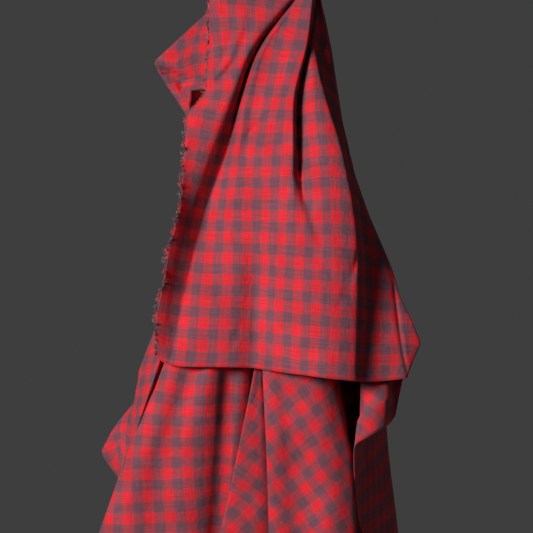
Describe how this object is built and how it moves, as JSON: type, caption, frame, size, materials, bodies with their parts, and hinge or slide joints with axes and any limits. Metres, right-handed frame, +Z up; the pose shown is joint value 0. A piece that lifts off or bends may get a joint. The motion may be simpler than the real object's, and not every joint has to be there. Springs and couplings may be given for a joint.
{
  "type": "gingham fabric",
  "caption": "Length of gingham cloth hanging from a point, with a short flap in front, a long rear part in soft folds and frayed cut edges.",
  "frame": {"origin": "the point at the top that the cloth hangs from", "axes": "+Z up, +X to the right seen from the front, +Y from the front flap to the back"},
  "size_m": [0.3265, 0.2098, 0.6598],
  "materials": {
    "gingham": "matt plain weave in red and charcoal squares",
    "yarn_ends": "matt loose yarn ends"
  },
  "bodies": {
    "root": {"cloth": "gingham", "frayed_edge_front": "yarn_ends", "frayed_edge_back": "yarn_ends"}
  },
  "joints": []
}
